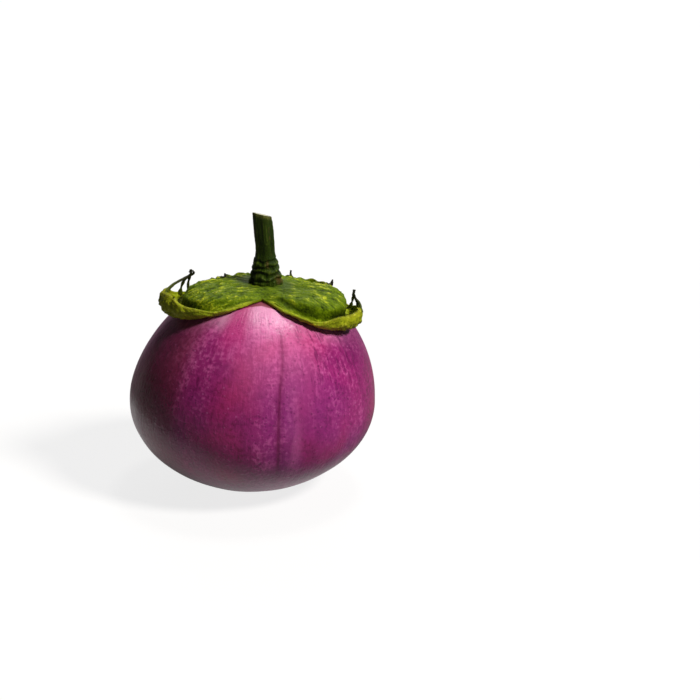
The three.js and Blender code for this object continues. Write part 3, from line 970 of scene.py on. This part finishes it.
def skin_specks(on, flesh, pale):
    """Dark specks, weaker on the pale skin, and a few pale dots. The specks' mask comes with it."""
    specks = times(flecked(on.place, (620, 620, 620), 0.4, 0.5), ranged(on.clouds, 0.2, 0.8, 0.12, 0.45))
    specks = times(specks, ranged(pale, 0.6, 0.1, 0.2, 1))
    flesh = tinted(flesh, (84, 14, 66), specks)
    dots = flecked(on.place, (-520, 520, 520), 0.26, 0.2)
    return tinted(flesh, (206, 122, 176), dots, 0.25), specks


def skin_ends(on, flesh):
    """A red-brown painted shadow along the calyx's edge, wider in the front notch, and the blossom end's
    corky scar, whose mask comes with it."""
    # Painted shadow: red-brown skin just beyond the calyx's edge, widest under the front notch
    beyond = math_node("SUBTRACT", on.below, ranged(on.down, 28, 22, 0, 4.5))
    flesh = tinted(flesh, (112, 24, 28), ranged(beyond, 2.3, 0.2, 0, 0.85))
    scar = ranged(on.down, 174, 183)
    return tinted(flesh, (146, 112, 76), scar), scar


def skin_material():
    """Waxy skin: all its layers, rougher where it is lighter and on the scar, and dented by the crease, the
    ripples and the specks."""
    material, tree, shader = new_material("waxy_purple_skin")
    on = skin_values(tree)
    mask = skin_mask(on)
    flesh = skin_flesh(on, mask)
    flesh, pale = skin_shoulder(on, flesh)
    flesh = skin_tints(on, flesh)
    flesh, ripple = skin_ripples(on, flesh)
    flesh, line = skin_crease(on, flesh)
    flesh, specks = skin_specks(on, flesh, pale)
    flesh, scar = skin_ends(on, flesh)
    rough = plus(times(mask, 0.1), 0.26, times(scar, 0.3))
    raised = ((on.fibres, 0.4), (on.grain, 0.6))
    sunk = ((specks, -1), (line, -2), (ripple, -3))
    coat(shader, flesh, rough, weighted(*raised, *sunk), 0.0001)
    shader.inputs["IOR"].default_value = 1.46
    return material


# The other materials

def calyx_material():
    """Leathery green by clouds, lengthwise streaks and grain, and by relief, which paints shade low and
    highlight high. It has painted shade in the valleys, about the stem and in the bends at the tips, a
    painted highlight on the front lobes' rims, and yellower curled tips. Its underside near the margin is
    red-brown, partly its own brown edge and partly painted shadow and reddish reflection, and its edge is
    dry."""
    material, tree, shader = new_material("leathery_green_calyx")
    place = own_place(tree)
    relief = own(tree, "relief")
    reach = own(tree, "reach")
    tipward = own(tree, "tipward")
    clouds = mottled(place, (170, 170, 170), 3, 0.34, 0.66)
    grain = mottled(place, (1000, 1000, 1000), 4, 0.3, 0.7)
    streaks = mottled(own(tree, "run", "Vector"), (2.2, 1.6, 2.2), 4, 0.36, 0.64)
    streaks = times(streaks, ranged(tipward, 0.02, 0.16))
    # Painted shade and highlight: low relief darkens the green, high relief lightens it
    raised = ranged(relief, -0.5, 0.5)
    mask = weighted((raised, 0.3), (clouds, 0.24), (streaks, 0.3), (grain, 0.18))
    green = toned(mask, (22, 38, 3), (92, 114, 7), (192, 198, 40))
    ahead = ranged(fed("SeparateXYZ", {0: place}).outputs["Y"], 0.02, 0.008)
    # Painted light: the front lobes' rolled rims lightened, as where they face the light
    rim = times(ranged(reach, 0.94, 1.02), ranged(tipward, 0.04, 0.2))
    green = tinted(green, (176, 186, 40), rim, ahead, 0.42)
    # Painted shade: darker green where the relief sinks into valleys
    green = tinted(green, (20, 32, 4), ranged(relief, -0.4, -0.9, 0, 0.5))
    # Painted shade: darker green about the stem's foot
    green = tinted(green, (42, 62, 8), ranged(reach, 0.42, 0.24, 0, 0.55))
    # Painted shadow: the hollow between each blade and its curled tip
    tip_slot_shade = times(ranged(reach, 0.86, 0.95), ranged(reach, 1.14, 1, 0, 0.75))
    green = tinted(green, (24, 30, 5), tip_slot_shade, ranged(tipward, 0.66, 0.86))
    yellow = toned(mask, (58, 66, 5), (152, 156, 17), (226, 216, 84))
    cuff = times(ranged(tipward, 0.45, 0.85), ranged(reach, 1.05, 1.35))
    cuff = times(cuff, ranged(ahead, 0, 1, 0.15, 0.7))
    green = mixed(cuff, green, yellow)
    # The underside near the margin: partly the leather's own brown edge, partly painted shadow and reddish
    # reflection
    brown_edge_and_shadow = times(ranged(own(tree, "topside"), 0.2, -0.6), ranged(reach, 1.4, 1))
    green = tinted(green, (128, 36, 16), brown_edge_and_shadow, 0.85)
    dry_edge = times(ranged(reach, 1.9, 2), ranged(grain, 0.2, 0.9))
    green = tinted(green, (112, 84, 24), dry_edge, 0.35)
    rough = ranged(mask, 0, 1, 0.72, 0.5)
    coat(shader, green, rough, plus(grain, streaks), 0.00018)
    shader.inputs["Specular IOR Level"].default_value = 0.22
    return material


def thread_material():
    """Dried threads: green at their roots, dark brown and brittle towards their ends."""
    material, tree, shader = new_material("dried_thread")
    grain = mottled(own_place(tree), (900, 900, 300), 3, 0.3, 0.7)
    aged = plus(own(tree, "dryness"), times(grain, 0.3))
    fresh = mixed(grain, rgb(52, 64, 12), rgb(98, 106, 34))
    dry = mixed(grain, rgb(14, 16, 8), rgb(42, 42, 20))
    colour = mixed(ranged(aged, 0.25, 0.75), fresh, dry)
    coat(shader, colour, ranged(grain, 0, 1, 0.6, 0.8), grain, 0.0001)
    return material


def stem_material():
    """Dark green with lengthwise streaks and brown patches, and corky at its top. Its relief paints highlight
    on the wrinkles' crests and shade in their folds. The cut face is pale, with a dark ring under the bark."""
    material, tree, shader = new_material("green_stem_bark")
    bark = own(tree, "bark", "Vector")
    cut = own(tree, "cut")
    streaks = mottled(bark, (5, 5, 0.8), 4, 0.3, 0.7)
    grain = mottled(bark, (14, 14, 14), 3, 0.3, 0.7)
    # Painted shade and highlight: the relief darkens the green in the folds and lightens it on the crests
    raised = ranged(own(tree, "relief"), -0.5, 0.6)
    mask = weighted((streaks, 0.4), (grain, 0.2), (raised, 0.4))
    green = toned(mask, (14, 22, 3), (38, 54, 8), (86, 102, 32))
    patches = mottled(bark, (1.6, 1.6, 1.5), 2, 0.56, 0.72)
    green = tinted(green, (92, 70, 38), patches, 0.55)
    top = times(ranged(own(tree, "height"), 30.5, 32.5), ranged(grain, 0, 0.8, 0.1, 0.5))
    green = tinted(green, (128, 126, 62), top)
    pith = mixed(ranged(cut, 0.14, 0.24), rgb(92, 84, 40), rgb(222, 220, 186))
    pith = tinted(pith, (176, 176, 120), grain, 0.4)
    colour = mixed(ranged(cut, 0.04, 0.12), green, pith)
    rough = ranged(grain, 0, 1, 0.55, 0.75)
    coat(shader, colour, rough, plus(streaks, grain), 0.00022)
    shader.inputs["Specular IOR Level"].default_value = 0.35
    return material


def glow(tree, base, seen, mirrored):
    """A glow that is stronger to the eye, and in reflections, by these amounts, each a number or a socket."""
    path = node(tree, "LightPath").outputs
    eye = times(path["Is Camera Ray"], seen)
    mirror = times(path["Is Glossy Ray"], mirrored)
    return plus(eye, mirror, base)


def distance_from(place, point):
    """How far a place is from a point."""
    return fed("VectorMath", {0: place, 1: point}, operation="DISTANCE").outputs["Value"]


def floor_material():
    """A pale matt floor that glows white to the eye. To reflections it glows only in a soft pool under and
    beside the fruit, dimmer in the pool's middle: a painted reflection on the fruit's lower side."""
    material, tree, shader = new_material("pale_floor")
    place = own_place(tree)
    clouds = mottled(place, (2, 2, 2), 2, 0.2, 0.8)
    tree.links.new(mixed(clouds, rgb(116, 115, 114), rgb(119, 118, 117)), shader.inputs["Base Color"])
    shader.inputs["Roughness"].default_value = 0.9
    shader.inputs["Specular IOR Level"].default_value = 0.1
    shader.inputs["Emission Color"].default_value = (1, 1, 1, 1)
    # Painted reflection: the floor glows to reflections only in a pool by the fruit, dimmer in its middle
    reach = distance_from(place, (-0.05, 0.03, 0))
    middle = ranged(distance_from(place, (-0.03, 0.01, 0)), 0.02, 0.05, 0.35)
    painted_reflection_pool = times(ranged(reach, 0.125, 0.09, 0, 0.56), middle)
    tree.links.new(glow(tree, 0, 0.8, painted_reflection_pool), shader.inputs["Emission Strength"])
    return material


# Stage

def towards(azimuth, elevation):
    """The direction from the object to a place at an azimuth to the right of the front, and an elevation."""
    a, e = math.radians(azimuth), math.radians(elevation)
    return Vector((math.sin(a) * math.cos(e), -math.cos(a) * math.cos(e), math.sin(e)))


def make_floor():
    """A square of floor, far wider than the view."""
    mesh = bpy.data.meshes.new("floor")
    half = 6
    corners = [(-half, -half, 0), (half, -half, 0), (half, half, 0), (-half, half, 0)]
    mesh.from_pydata(corners, [], [(0, 1, 2, 3)])
    mesh.materials.append(floor_material())
    added("floor", mesh)


def make_sun(name, direction, strength, spread, colour, shades=True, mirrored=True):
    """A far light. One that is not mirrored gives no highlight of its own, as a light behind a wide cloth,
    and one that does not shade gives a highlight only."""
    light = bpy.data.lights.new(name, "SUN")
    light.energy = strength
    light.angle = math.radians(spread)
    light.color = colour
    lamp = added(name, light)
    lamp.rotation_euler = direction.to_track_quat("Z", "Y").to_euler()
    lamp.visible_diffuse = shades
    lamp.visible_glossy = mirrored


def make_lights():
    """A warm key from the right, a soft light and a highlight from behind on the right, and a fill behind."""
    make_sun("key", towards(58, 44), 4.1, 14, (1, 0.98, 0.95), mirrored=False)
    make_sun("top", towards(150, 71), 0.7, 12, (1, 0.99, 0.98), mirrored=False)
    make_sun("glint", towards(126, 72), 1.5, 9, (1, 0.98, 0.99), shades=False)
    make_sun("back_fill", towards(180, 30), 0.5, 40, (0.93, 0.96, 1))


def make_world():
    """A white backdrop to the eye, and a dim grey one to everything else."""
    world = bpy.data.worlds.new("studio")
    world.use_nodes = True
    tree = world.node_tree
    tree.nodes.clear()
    inputs = {"Color": (1, 1, 1, 1), "Strength": glow(tree, 0.035, 0.965, 0.02)}
    background = node(tree, "Background", inputs)
    out = node(tree, "OutputWorld")
    tree.links.new(background.outputs[0], out.inputs["Surface"])
    bpy.context.scene.world = world


def make_camera():
    """The photograph's view. The camera faces the fruit's middle, then turns until it lands on its pixel."""
    focal = VIEW_DISTANCE * 1000 / MM_PER_PIXEL
    half = FRAME_PIXELS / 2
    aim = Vector((MIDDLE_PIXEL[0] - half, half - MIDDLE_PIXEL[1], -focal))
    level = Euler((math.pi / 2 - VIEW_ELEVATION, 0, 0)).to_quaternion()
    lens = bpy.data.cameras.new("camera")
    lens.sensor_width = 36
    lens.lens = lens.sensor_width * focal / FRAME_PIXELS
    lens.clip_start = 0.01
    camera = added("camera", lens)
    camera.location = Vector(ORIGIN / 1000) + towards(0, math.degrees(VIEW_ELEVATION)) * VIEW_DISTANCE
    camera.rotation_mode = "QUATERNION"
    camera.rotation_quaternion = level @ aim.rotation_difference(Vector((0, 0, -1)))
    bpy.context.scene.camera = camera


def dress(piece, material):
    """Gives a piece its material and its place in the model."""
    piece.data.materials.append(material)
    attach(piece, "root")


fruit = make_fruit()
dress(fruit, skin_material())
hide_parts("fruit")
calyx = make_calyx()
dress(calyx, calyx_material())
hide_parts("calyx")
threads = make_threads()
dress(threads, thread_material())
stem = make_stem()
dress(stem, stem_material())
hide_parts("stem")

make_floor()
make_lights()
make_world()
make_camera()
bpy.context.scene.view_settings.view_transform = "Standard"
